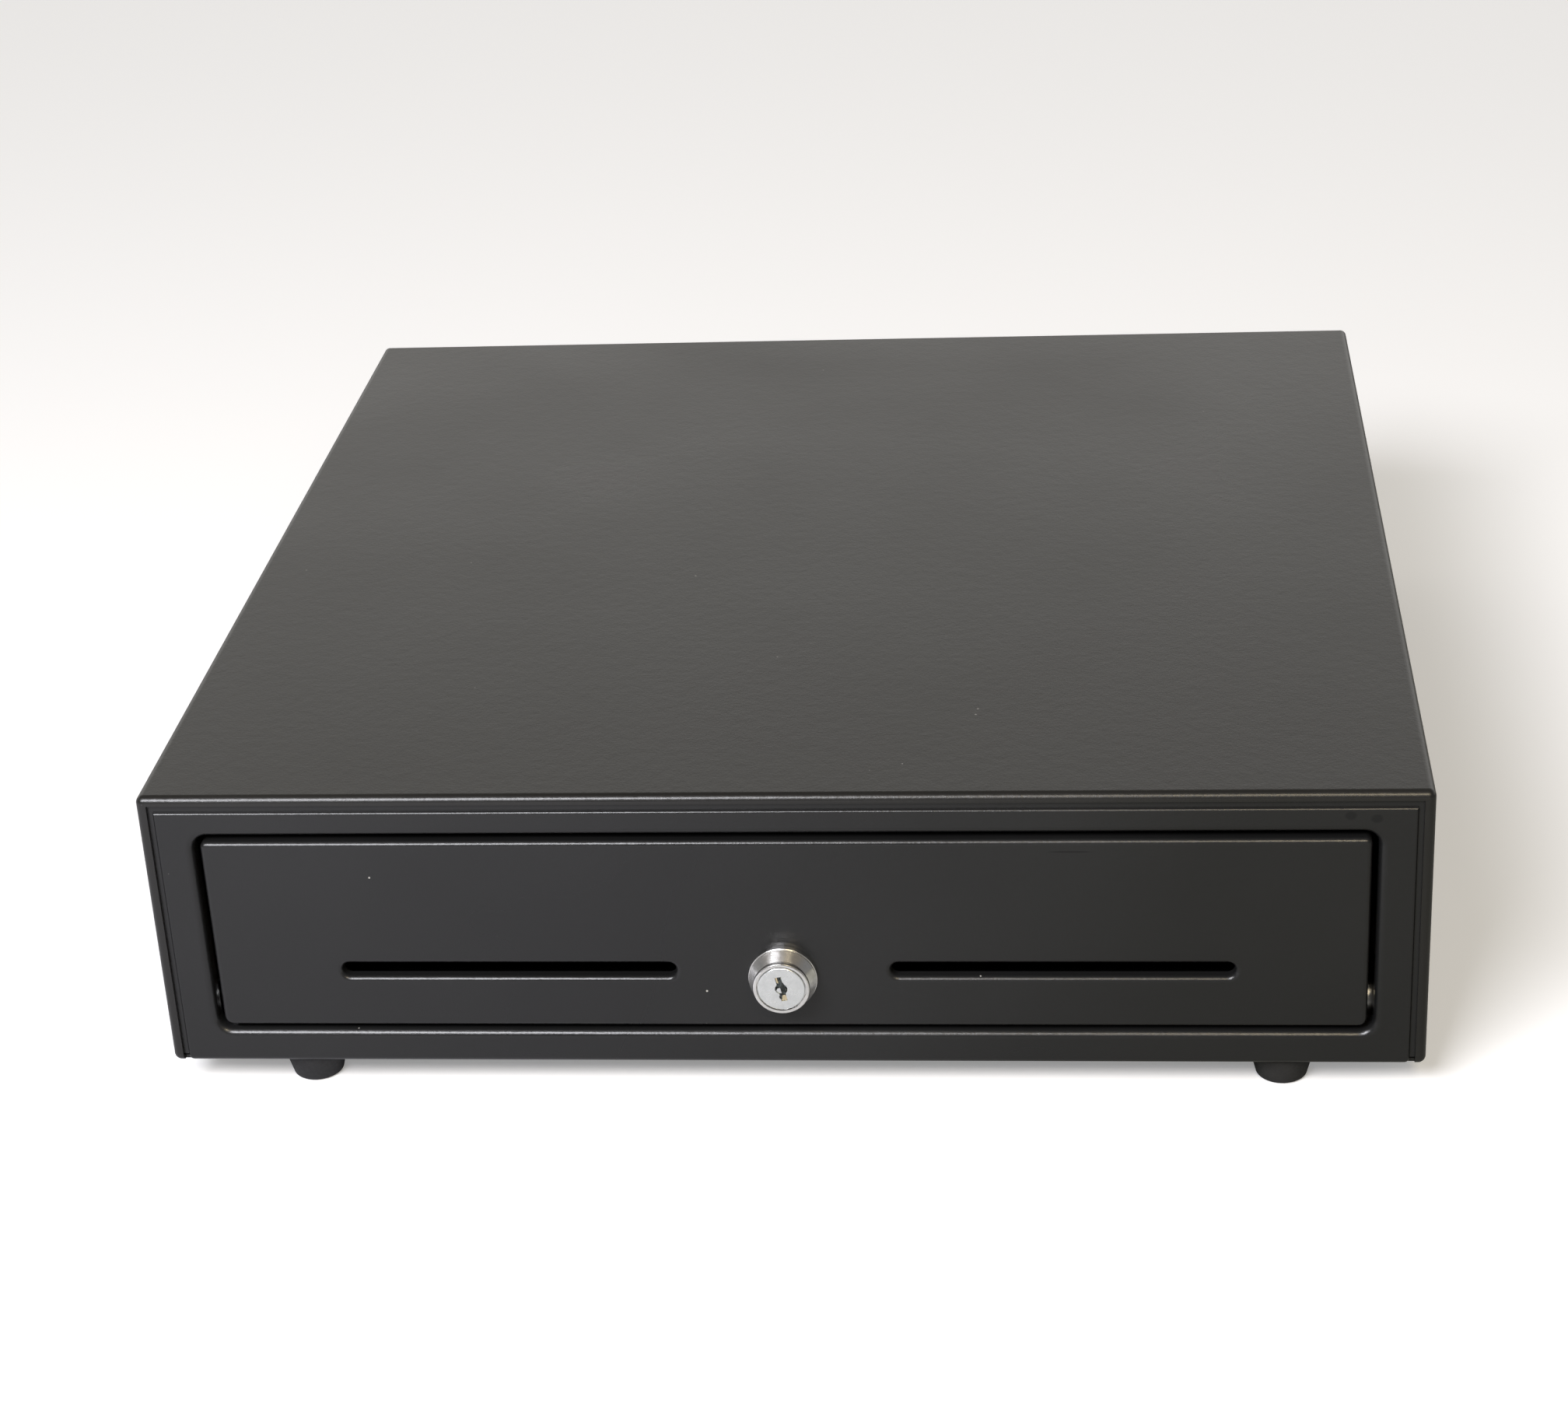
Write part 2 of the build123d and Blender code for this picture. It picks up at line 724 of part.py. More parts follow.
hollows = [make_note_hollow(middle) for middle in note_middles] + [make_coin_well()]
with BuildPart() as till_tray:
    block((-till_half, till_half), (till_front, till_back), (till_low, till_top))
    fillet(till_tray.edges().filter_by(Axis.Z), 4)
    fillet(till_tray.faces().sort_by(Axis.Z)[0].edges(), 1.5)
    for hollow in hollows:
        add(hollow, mode=Mode.SUBTRACT)
    for middle in note_middles:
        for side in sides:
            ear_near, ear_far = span(side, ear_gap, ear_gap + ear_width)
            ear = (middle + ear_near, middle + ear_far)
            block(ear, (clip_setback - 5, till_back - 1), (60, till_top - 0.5))
            rod(
                (ear[0] - 1, ear[1] + 1),
                clip_setback,
                clip_height,
                clip_pin_radius + play,
                Mode.SUBTRACT,
            )
save(till_tray, "till_tray")

coin_half = 177.5
coin_front = 29
coin_top = 76
coin_low = till_floor + 0.3
coin_wall = 2
cup_width = (2 * coin_half - (coin_columns + 1) * coin_wall) / coin_columns
coin_rear = coin_back - 1.5
cup_depth = (coin_rear - coin_front - (coin_rows + 1) * coin_wall) / coin_rows
cup_floor = coin_low + coin_wall


def make_cup(column, row):
    """The hollow of one coin cup, with a bowl-shaped floor."""
    left = -coin_half + coin_wall + column * (cup_width + coin_wall)
    front = coin_front + coin_wall + row * (cup_depth + coin_wall)
    with BuildPart() as cup:
        block((left, left + cup_width), (front, front + cup_depth), (cup_floor, coin_top + 20))
        fillet(cup.edges().filter_by(Axis.Z), 5)
        fillet(cup.faces().sort_by(Axis.Z)[0].edges(), 4.9)
    return cup.part


cups = [make_cup(column, row) for column in range(coin_columns) for row in range(coin_rows)]
with BuildPart() as coin_tray:
    block((-coin_half, coin_half), (coin_front, coin_rear), (coin_low, coin_top))
    fillet(coin_tray.edges().filter_by(Axis.Z), 2.5)
    fillet(coin_tray.faces().sort_by(Axis.Z)[0].edges(), 1)
    for cup in cups:
        add(cup, mode=Mode.SUBTRACT)
    for side in sides:
        rod(
            span(side, coin_half - 5, coin_half + 2),
            (coin_front + coin_rear) / 2,
            coin_top + 2,
            9,
            Mode.SUBTRACT,
        )
save(coin_tray, "coin_tray")

clip_hub = 4
clip_half = 5.5
with BuildPart() as clip_shape:
    side_view = turned(facing_right(-clip_half, clip_setback, clip_height), clip_droop)
    with BuildSketch(side_view):
        Circle(clip_hub)
        with Locations((-clip_length / 2 + 1, 0.6)):
            Rectangle(clip_length - 4, 1.6)
    extrude(amount=2 * clip_half)
    tip_plane = turned(facing_right(-9, clip_setback, clip_height), clip_droop)
    with BuildSketch(tip_plane):
        with Locations((-clip_length + 2, 0.6)):
            Circle(2.4)
    extrude(amount=18)
    fillet(clip_shape.edges().filter_by(GeomType.CIRCLE).filter_by(lambda e: e.radius < 3), 0.8)
    rod((-12, 12), clip_setback, clip_height, clip_pin_radius + play, Mode.SUBTRACT)

for number, middle in enumerate(note_middles, 1):
    with BuildPart() as bill_clip:
        with Locations((middle, 0, 0)):
            add(clip_shape.part)
    save(bill_clip, f"bill_clip_{number}")

pin_reach = ear_gap + ear_width
with BuildPart() as clip_pins:
    for middle in note_middles:
        rod((middle - pin_reach, middle + pin_reach), clip_setback, clip_height, clip_pin_radius)
save(clip_pins, "clip_pins")


def coil(start, turns, pitch, radius, wire, direction):
    """A round-wire spring that starts at a point and runs along a direction."""
    with BuildPart() as spring:
        with BuildLine() as path:
            Helix(pitch, turns * pitch, radius, center=start, direction=direction)
        with BuildSketch(Plane(origin=path.line @ 0, z_dir=path.line % 0)):
            Circle(wire)
        sweep(path=path.line, is_frenet=True)
    return spring


spring_start = clip_half + 0.8
clip_coil = coil((0, front_y + clip_setback, base_z + clip_height), 2, 0.9, 2.9, 0.35, (1, 0, 0))
with BuildPart() as clip_springs:
    for middle in note_middles:
        with Locations((middle + spring_start, 0, 0), (middle - spring_start - 1.8, 0, 0)):
            add(clip_coil.part)
save(clip_springs, "clip_springs")

# ---- latch ----
ear_inside = 6
bracket_back = latch_setback + 3.5
bracket_low = floor_top + seam
with BuildPart() as latch_bracket:
    block((-16, 16), (386, 409), (bracket_low, bracket_low + sheet))
    block((-14, 14), (bracket_back, bracket_back + sheet), (bracket_low, 78))
    for side in sides:
        block(span(side, ear_inside, ear_inside + sheet), (388, 404), (bracket_low, 36))
    window = (-ear_inside, ear_inside)
    block(window, (bracket_back - 1, bracket_back + 3), (12, solenoid_low), Mode.SUBTRACT)
    rod((-8, 8), latch_setback, latch_height, 2 + play, Mode.SUBTRACT)
    for height in (50, 66):
        peg(0, (bracket_back - 1, bracket_back + 3), height, screw_radius + play, Mode.SUBTRACT)
    for side in sides:
        post(side * 11.5, 392, (0, 6), screw_radius + play, Mode.SUBTRACT)
    chamfer(latch_bracket.edges().filter_by(Axis.Y).group_by(Axis.Z)[-1], 4)
save(latch_bracket, "latch_bracket")

with BuildPart() as latch_pin:
    ear_outside = ear_inside + sheet
    rod((-ear_outside - 1, ear_outside), latch_setback, latch_height, 2)
    rod((ear_outside + play, ear_outside + 1.5), latch_setback, latch_height, 3.2)
    rod((ear_outside - 1, ear_outside + 1), latch_setback, latch_height, 2)
save(latch_pin, "latch_pin")

hook_plane = turned(facing_right(-3, latch_setback, latch_height), -latch_release)
with BuildPart() as latch_hook:
    with BuildSketch(hook_plane):
        with BuildLine():
            Polyline(
                (0, -2.5),
                (-28.4, -2.5),
                (-28.4, -7.5),
                (-29.6, -7.5),
                (-34.5, -0.5),
                (-34.5, 3.5),
                (0, 3.5),
                close=True,
            )
        make_face()
        Circle(5.5)
        Circle(2 + play, mode=Mode.SUBTRACT)
        with Locations((-plunger_arm, 0)):
            Circle(1.7, mode=Mode.SUBTRACT)
    extrude(amount=6)
save(latch_hook, "latch_hook")

spring_centre = (3.45, front_y + latch_setback, base_z + latch_height)
latch_spring = coil(spring_centre, 2, 0.95, 3.1, 0.3, (1, 0, 0))
save(latch_spring, "latch_spring")

plunger_setback = latch_setback - plunger_arm * cos(radians(latch_release / 2))
plunger_pin_height = latch_height + plunger_arm * sin(radians(latch_release))
frame_back = bracket_back - seam
solenoid_sheet = 1.6
with BuildPart() as solenoid_frame:
    block((-12, 12), (plunger_setback - 12, frame_back), (solenoid_low, solenoid_high))
    fillet(solenoid_frame.edges().filter_by(Axis.X).group_by(Axis.Y)[-1], 2)
    block(
        (-13, 13),
        (plunger_setback - 13, frame_back - solenoid_sheet),
        (solenoid_low + solenoid_sheet, solenoid_high - solenoid_sheet),
        Mode.SUBTRACT,
    )
    post(0, plunger_setback, (solenoid_low - 1, solenoid_low + 3), 4.5, Mode.SUBTRACT)
    for height in (50, 66):
        peg(0, (frame_back - 3, frame_back + 1), height, screw_radius + play, Mode.SUBTRACT)
save(solenoid_frame, "solenoid_frame")

coil_low = solenoid_low + solenoid_sheet + seam
coil_high = solenoid_high - solenoid_sheet - seam
with BuildPart() as solenoid_coil:
    post(0, plunger_setback, (coil_low, coil_high), 9.6)
    post(0, plunger_setback, (coil_low, coil_low + 1.2), 10.8)
    post(0, plunger_setback, (coil_high - 1.2, coil_high), 10.8)
    post(0, plunger_setback, (coil_low - 1, coil_high + 1), 4.8, Mode.SUBTRACT)
save(solenoid_coil, "solenoid_coil")

with BuildPart() as solenoid_plunger:
    post(0, plunger_setback, (37, 68), 4.2)
    block((-5.2, 5.2), (plunger_setback - 2.7, plunger_setback + 2.7), (25.5, 39))
    fillet(solenoid_plunger.edges().filter_by(Axis.X).group_by(Axis.Z)[0], 1.5)
    block((-3.4, 3.4), (plunger_setback - 4, plunger_setback + 4), (24, 36.5), Mode.SUBTRACT)
    rod((-5.2, 5.2), plunger_setback, plunger_pin_height, 1.2)
save(solenoid_plunger, "solenoid_plunger")

# ---- kick-out ----
ejector_ear = 404
ejector_rod = 4
spring_wire = 0.6
with BuildPart() as ejector_guide:
    block((ejector_x - 14, ejector_x + 14), (386, 409), (bracket_low, bracket_low + sheet))
    ear = (ejector_ear, ejector_ear + 1.6)
    block((ejector_x - 12, ejector_x + 12), ear, (bracket_low, ejector_height + 13))
    fillet(ejector_guide.edges().filter_by(Axis.Y).group_by(Axis.Z)[-1], 6)
    peg(ejector_x, (357, ejector_ear + 1), ejector_height, ejector_rod)
    for side in sides:
        post(ejector_x + side * 9, 395, (0, 6), screw_radius + play, Mode.SUBTRACT)
save(ejector_guide, "ejector_guide")

with BuildPart() as ejector_pusher:
    peg(ejector_x, (body_back + 0.4, body_back + 2.4), ejector_height, 10)
    peg(ejector_x, (body_back + 2, 390), ejector_height, 6)
    fillet(ejector_pusher.edges().filter_by(GeomType.CIRCLE).sort_by(Axis.Y)[0], 1)
    peg(ejector_x, (body_back + 4, 391), ejector_height, ejector_rod + play, Mode.SUBTRACT)
save(ejector_pusher, "ejector_pusher")

spring_front = body_back + 2.4 + spring_wire + seam
spring_length = ejector_ear - spring_wire - seam - spring_front
spring_turns = 8
spring_place = (ejector_x, front_y + spring_front, base_z + ejector_height)
ejector_spring = coil(
    spring_place,
    spring_turns,
    spring_length / spring_turns,
    7.6,
    spring_wire,
    (0, 1, 0),
)
save(ejector_spring, "ejector_spring")

# ---- drawer sensor ----
shelf_low = 28.8
switch_low = 30.1
switch_top = 36.5
lever_x = switch_x + 1.5
lever_setback = 358.4
switch_screw_places = [(switch_x + offset, 365) for offset in (4, 16)]
switch_screw_radius = 1.1
with BuildPart() as switch_bracket:
    block((switch_x, switch_x + 24), (358, 374.2), (bracket_low, bracket_low + sheet))
    block((switch_x, switch_x + 20), (373, 374.2), (bracket_low, shelf_low + sheet))
    block((switch_x, switch_x + 20), (360.5, 374.2), (shelf_low, shelf_low + sheet))
    for offset in (4, 20):
        post(switch_x + offset, 364, (0, 6), screw_radius + play, Mode.SUBTRACT)
    for x, setback in switch_screw_places:
        post(x, setback, (shelf_low - 1, shelf_low + 3), switch_screw_radius + play, Mode.SUBTRACT)
save(switch_bracket, "switch_bracket")

with BuildPart() as microswitch:
    block((switch_x, switch_x + 20), (360, 370), (switch_low, switch_top))
    for height in (switch_low, switch_top - 1):
        block((switch_x, switch_x + 3), (357.2, 361), (height, height + 1))
    post(lever_x, lever_setback, (switch_low, switch_top), 0.6)
    block((switch_x + 7, switch_x + 9), (358.7, 361), (32.3, 34.3))
    for offset in (3, 10, 17):
        block((switch_x + offset - 1.2, switch_x + offset + 1.2), (369, 375.5), (32.9, 33.5))
    for x, setback in switch_screw_places:
        post(x, setback, (switch_low - 1, switch_top + 1), switch_screw_radius + play, Mode.SUBTRACT)
save(microswitch, "microswitch")

with BuildPart() as switch_lever:
    post(lever_x, lever_setback, (switch_low + 1.1, switch_top - 1.1), 1.2)
    block((lever_x, lever_x + 22.5), (356.9, 357.5), (switch_low + 1.1, switch_top - 1.1))
    post(lever_x + 21.5, 355, (switch_low + 1.1, switch_top - 1.1), 2.4)
    post(lever_x, lever_setback, (switch_low, switch_top), 0.6 + play, Mode.SUBTRACT)
save(switch_lever, "switch_lever")

with BuildPart() as switch_screws:
    for x, setback in switch_screw_places:
        post(x, setback, (shelf_low - 1.5, switch_top + 0.5), switch_screw_radius)
        post(x, setback, (switch_top + play, switch_top + 1.2), 2)
save(switch_screws, "switch_screws")

# Screws that hold the latch, the kick-out and the sensor to the base, and the
# solenoid to its bracket.
with BuildPart() as mechanism_screws:
    screw_low = bracket_low + sheet
    for x, setback in mechanism_screw_places:
        post(x, setback, (0.3, screw_low + 0.5), screw_radius)
        post(x, setback, (screw_low + play, screw_low + 1.8), 2.8)
    for height in (50, 66):
        screw_back = bracket_back + sheet
        peg(0, (frame_back - solenoid_sheet, screw_back + 0.5), height, screw_radius)
        peg(0, (screw_back + play, screw_back + 1.8), height, 2.8)
save(mechanism_screws, "mechanism_screws")

# ---- rear socket and wiring ----
board_low = 15.4
board_top = 17.0
board_places = [(socket_x + x, setback) for x in (-19, 19) for setback in (379, 408)]
with BuildPart() as socket_board:
    block((socket_x - 22, socket_x + 22), (376, 411), (board_low, board_top))
    for x, setback in board_places:
        post(x, setback, (board_low - 1, board_top + 1), screw_radius + play, Mode.SUBTRACT)
    for offset in (-12, 6):
        low_x = socket_x + offset
        block((low_x, low_x + 8), (378, 385), (board_top - 0.1, board_top + 6))
save(socket_board, "socket_board")

with BuildPart() as board_standoffs:
    for x, setback in board_places:
        with BuildSketch(facing_up(floor_top + seam, x, setback)):
            RegularPolygon(2.9, 6)
        extrude(amount=board_low - play - floor_top - seam)
        post(x, setback, (board_low - 1, board_top + 0.5), screw_radius)
        post(x, setback, (board_top + play, board_top + 1.8), 2.8)
save(board_standoffs, "board_standoffs")

with BuildPart() as rear_socket:
    socket_span = (socket_x - socket_half, socket_x + socket_half)
    block(socket_span, (396, back_face - 0.3), (socket_low, socket_top))
    block(
        (socket_x - 4.9, socket_x + 4.9),
        (400, back_face + 1),
        (socket_low + 3, socket_top - 2),
        Mode.SUBTRACT,
    )
    block(
        (socket_x - 3, socket_x + 3),
        (400, back_face + 1),
        (socket_low + 1.2, socket_low + 5),
        Mode.SUBTRACT,
    )
save(rear_socket, "rear_socket")


def cable(points, radius):
    """A round cable along a smooth path through x, setback and height points."""
    places = [(x, front_y + setback, base_z + height) for x, setback, height in points]
    with BuildPart() as wire:
        with BuildLine() as path:
            Spline(*places)
        with BuildSketch(Plane(origin=path.line @ 0, z_dir=path.line % 0)):
            Circle(radius)
        sweep(path=path.line)
    return wire


cable_radius = 1.2
solenoid_run = [(11.2, 386, 66), (30, 392, 60), (75, 400, 30), (116, 391, 22), (126.2, 382, 20)]
switch_run = [(70, 376.9, 33.2), (84, 386, 30), (112, 378, 28), (136, 370, 24), (146.5, 376, 19.9)]
solenoid_cable = cable(solenoid_run, cable_radius)
switch_cable = cable(switch_run, cable_radius)
save(solenoid_cable, "solenoid_cable")
save(switch_cable, "switch_cable")
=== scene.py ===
"""A black steel cash drawer in a plain, pale studio.

The CAD model is loaded as a fixed frame. This script gives every piece its material,
adds the lock's wafers, its turned case and the kick-out spring, and sets the floor,
lights and camera.
Lengths are metres, +X is right, +Y is back and +Z is up.
"""
import math

import bpy
from mathutils import Matrix, Vector


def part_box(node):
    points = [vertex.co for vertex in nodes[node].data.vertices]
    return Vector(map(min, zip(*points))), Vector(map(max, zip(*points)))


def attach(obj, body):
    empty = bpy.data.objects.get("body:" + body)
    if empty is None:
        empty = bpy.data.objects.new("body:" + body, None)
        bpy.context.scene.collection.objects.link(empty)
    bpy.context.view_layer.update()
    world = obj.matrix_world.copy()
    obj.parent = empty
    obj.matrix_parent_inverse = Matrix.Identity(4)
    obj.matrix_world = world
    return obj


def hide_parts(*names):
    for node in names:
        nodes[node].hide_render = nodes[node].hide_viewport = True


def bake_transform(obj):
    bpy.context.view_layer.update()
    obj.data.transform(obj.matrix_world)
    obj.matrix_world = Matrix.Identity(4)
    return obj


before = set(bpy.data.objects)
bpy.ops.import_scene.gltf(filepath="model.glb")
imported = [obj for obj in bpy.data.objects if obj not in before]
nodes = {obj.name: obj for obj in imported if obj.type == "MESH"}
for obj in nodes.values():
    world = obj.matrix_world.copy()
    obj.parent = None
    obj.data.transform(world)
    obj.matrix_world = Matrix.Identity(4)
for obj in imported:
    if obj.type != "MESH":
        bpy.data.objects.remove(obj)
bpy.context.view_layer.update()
MM = 0.001


# ---- places taken from the frame ----
def middle(node):
    """The centre of a CAD node's box."""
    low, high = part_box(node)
    return (Vector(low) + Vector(high)) / 2


cover_low, cover_high = (Vector(corner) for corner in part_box("top_cover"))
lock_centre = middle("lock_plug")
lock_face_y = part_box("lock_plug")[0][1]
lock_lean = math.radians(12)        # the keyway leans this far from upright


# ---- new pieces ----
edge_width = 0.08 * MM


def new_piece(name, vertices, faces):
    """A mesh object made from its vertices and faces, in the row frame."""
    mesh = bpy.data.meshes.new(name)
    mesh.from_pydata(vertices, [], faces)
    mesh.validate()
    piece = bpy.data.objects.new(name, mesh)
    bpy.context.scene.collection.objects.link(piece)
    return piece


def break_edges(piece):
    """Rounds a small metal piece's edges, as tumbling or plating does."""
    edge = piece.modifiers.new("edge", "BEVEL")
    edge.width = edge_width
    edge.segments = 2
    edge.limit_method = "ANGLE"


# ---- node trees ----
class Material:
    """A node material with short calls for the nodes used here."""

    def __init__(self, name):
        self.material = bpy.data.materials.new(name)
        self.material.use_nodes = True
        self.tree = self.material.node_tree
        self.shader = self.tree.nodes["Principled BSDF"]
        coordinates = self.tree.nodes.new("ShaderNodeTexCoord")
        self.place = coordinates.outputs["Object"]

    def link(self, source, target):
        self.tree.links.new(source, target)

    def node(self, kind, inputs=None, **settings):
        """A new node; an input is a value, or another node's output."""
        made = self.tree.nodes.new("ShaderNode" + kind)
        for key, value in settings.items():
            setattr(made, key, value)
        for key, value in (inputs or {}).items():
            if isinstance(value, bpy.types.NodeSocket):
                self.link(value, made.inputs[key])
            else:
                made.inputs[key].default_value = value
        return made

    def noise(self, scale, detail=2.0, roughness=0.5, place=None):
        """Noise at so many cells a metre."""
        inputs = {
            "Vector": place or self.place,
            "Scale": scale,
            "Detail": detail,
            "Roughness": roughness,
        }
        return self.node("TexNoise", inputs).outputs["Fac"]

    def stretched(self, scale):
        """The coordinates scaled by a vector, for grain that runs one way."""
        inputs = {"Vector": self.place, "Scale": scale}
        return self.node("Mapping", inputs).outputs["Vector"]

    def math(self, operation, first, second=0.0, clamp=False):
        made = self.node("Math", {0: first, 1: second}, operation=operation, use_clamp=clamp)
        return made.outputs[0]

    def between(self, value, low, high, to_low=0.0, to_high=1.0):
        """Maps low..high of a value to another range, and holds it inside that."""
        inputs = {
            "Value": value,
            "From Min": low,
            "From Max": high,
            "To Min": to_low,
            "To Max": to_high,
        }
        return self.node("MapRange", inputs).outputs["Result"]

    def mix(self, factor, first, second):
        """A colour between two colours."""
        made = self.node("Mix", data_type="RGBA")
        for socket, value in ((made.inputs[0], factor), (made.inputs[6], first), (made.inputs[7], second)):
            if isinstance(value, bpy.types.NodeSocket):
                self.link(value, socket)
            elif hasattr(value, "__len__"):
                socket.default_value = (*value, 1.0)
            else:
                socket.default_value = value
        return made.outputs[2]

    def bump(self, height, distance, strength=1.0, under=None):
        inputs = {"Height": height, "Distance": distance, "Strength": strength}
        if under is not None:
            inputs["Normal"] = under
        return self.node("Bump", inputs).outputs["Normal"]

    def set(self, **inputs):
        """Sets the main shader's inputs; an underscore stands for a space."""
        for key, value in inputs.items():
            socket = self.shader.inputs[key.replace("_", " ")]
            if isinstance(value, bpy.types.NodeSocket):
                self.link(value, socket)
            elif hasattr(value, "__len__") and len(value) == 3:
                socket.default_value = (*value, 1.0)
            else:
                socket.default_value = value


def paint(material, *names):
    """Gives a material to CAD nodes or to new pieces."""
    for name in names:
        target = nodes[name] if isinstance(name, str) else name
        target.data.materials.clear()
        target.data.materials.append(material.material)


def worn_spot(coat, place, reach):
    """1 inside a soft-edged box about a place, 0 outside it."""
    away = coat.node("VectorMath", {0: coat.place, 1: place}, operation="SUBTRACT")
    scaled = coat.node("VectorMath", {0: away.outputs["Vector"], 1: reach}, operation="DIVIDE")
    length = coat.node("VectorMath", {0: scaled.outputs["Vector"]}, operation="LENGTH")
    return coat.between(length.outputs["Value"], 0.6, 1.0, 1.0, 0.0)


def powder_coat(name, colour, sheen_roughness, dust, marks=()):
    """Black polyester powder coat: fine grain over a slow orange peel, with a few marks."""
    coat = Material(name)
    grain = coat.noise(1100.0, 2.0, 0.6)
    peel = coat.noise(260.0, 1.0)
    patches = coat.noise(9.0, 3.0)
    lighter = tuple(min(1.0, channel * 1.35) for channel in colour)
    base = coat.mix(coat.between(patches, 0.35, 0.7), colour, lighter)
    cells = coat.node("TexVoronoi", {"Vector": coat.place, "Scale": 75.0}, feature="F1")
    speck = coat.between(cells.outputs["Distance"], 0.02, 0.032, 1.0, 0.0)
    chance = coat.between(coat.noise(16.0, 0.0), 0.55, 0.57)
    speck = coat.math("MULTIPLY", speck, chance)
    speck = coat.math("MULTIPLY", speck, dust)
    if marks:
        marked = worn_spot(coat, *marks[0])
        for place, reach in marks[1:]:
            marked = coat.math("MAXIMUM", marked, worn_spot(coat, place, reach))
        coat.set(Specular_IOR_Level=coat.between(marked, 0.0, 1.0, 0.5, 0.32))
    coat.set(
        Base_Color=coat.mix(speck, base, (0.5, 0.49, 0.46)),
        Roughness=coat.between(patches, 0.15, 0.85, sheen_roughness - 0.056, sheen_roughness + 0.066),
        IOR=1.5,
        Normal=coat.bump(grain, 0.045 * MM, 1.0, coat.bump(peel, 0.05 * MM)),
    )
    return coat


def plated_steel(name, colour, roughness, streaks):
    """Zinc-plated or bright steel with fine rolling marks and cloudy patches."""
    steel = Material(name)
    rolled = steel.noise(1.0, 2.0, 0.6, steel.stretched((2500.0, 60.0, 2500.0)))
    cloud = steel.noise(35.0, 4.0)
    tint = tuple(channel * 0.72 for channel in colour)
    steel.set(
        Base_Color=steel.mix(steel.between(cloud, 0.3, 0.75), colour, tint),
        Metallic=1.0,
        Roughness=steel.between(cloud, 0.3, 0.7, roughness, roughness + 0.16),
        Normal=steel.bump(rolled, streaks * MM),
    )
    return steel


def turned_metal(name, colour, roughness, centre, rings):
    """Plated metal with faint turning rings about an axis along Y."""
    metal = Material(name)
    centred = metal.node(
        "VectorMath",
        {0: metal.place, 1: tuple(centre)},
        operation="SUBTRACT",
    ).outputs["Vector"]
    flat = metal.node("VectorMath", {0: centred, 1: (1.0, 0.0, 1.0)}, operation="MULTIPLY")
    radius = metal.node("VectorMath", {0: flat.outputs["Vector"]}, operation="LENGTH")
    ring = metal.math("SINE", metal.math("MULTIPLY", radius.outputs["Value"], rings))
    wear = metal.noise(420.0, 4.0)
    dull = tuple(channel * 0.86 for channel in colour)
    metal.set(
        Base_Color=metal.mix(metal.between(wear, 0.4, 0.75), colour, dull),
        Metallic=1.0,
        Roughness=metal.between(wear, 0.3, 0.7, roughness, roughness + 0.12),
        Normal=metal.bump(ring, 0.0006 * MM, 1.0, metal.bump(wear, 0.0015 * MM)),
    )
    return metal


def moulded_plastic(name, colour, roughness, grain_scale, grain_height):
    """Moulded plastic with a spark-eroded grain."""
    plastic = Material(name)
    grain = plastic.noise(grain_scale, 3.0, 0.6)
    slow = plastic.noise(12.0, 3.0)
    lighter = tuple(min(1.0, channel * 1.25 + 0.004) for channel in colour)
    plastic.set(
        Base_Color=plastic.mix(plastic.between(slow, 0.35, 0.7), colour, lighter),
        Roughness=plastic.between(slow, 0.3, 0.7, roughness - 0.04, roughness + 0.05),
        Normal=plastic.bump(grain, grain_height * MM),
    )
    return plastic


def rubber():
    """Black moulded rubber with a pale bloom and fine dust."""
    material = Material("foot_rubber")
    grain = material.noise(900.0, 4.0, 0.7)
    bloom = material.noise(60.0, 4.0)
    material.set(
        Base_Color=material.mix(
            material.between(bloom, 0.45, 0.8), (0.012, 0.012, 0.013), (0.032, 0.031, 0.03)
        ),
        Roughness=material.between(grain, 0.3, 0.7, 0.62, 0.8),
        Normal=material.bump(grain, 0.03 * MM),
    )
    return material


def wound_coil():
    """Amber tape over copper windings, which show as fine rings."""
    material = Material("coil_winding")
    turns = material.node(
        "TexWave",
        {"Vector": material.place, "Scale": 260.0, "Distortion": 0.6, "Detail": 1.0},
        bands_direction="Z",
    ).outputs["Fac"]
    material.set(
        Base_Color=material.mix(turns, (0.3, 0.12, 0.025), (0.62, 0.33, 0.08)),
        Roughness=0.32,
        Normal=material.bump(turns, 0.12 * MM),
    )
    return material


def circuit_board():
    """Green solder mask with copper tracks that show through it."""
    material = Material("circuit_board")
    cells = material.node(
        "TexVoronoi", {"Vector": material.place, "Scale": 320.0}, distance="MANHATTAN"
    )
    tracks = material.between(cells.outputs["Distance"], 0.3, 0.42)
    material.set(
        Base_Color=material.mix(tracks, (0.012, 0.09, 0.035), (0.03, 0.2, 0.08)),
        Roughness=0.3,
        Normal=material.bump(tracks, 0.03 * MM),
    )
    return material


def brass():
    material = Material("wafer_brass")
    wear = material.noise(900.0, 3.0)
    material.set(
        Base_Color=material.mix(wear, (0.95, 0.84, 0.6), (0.72, 0.58, 0.34)),
        Metallic=1.0,
        Roughness=material.between(wear, 0.3, 0.7, 0.25, 0.45),
        Normal=material.bump(wear, 0.01 * MM),
    )
    return material


housing_coat = powder_coat("housing_coat", (0.0095, 0.0092, 0.0086), 0.3, 0.35)
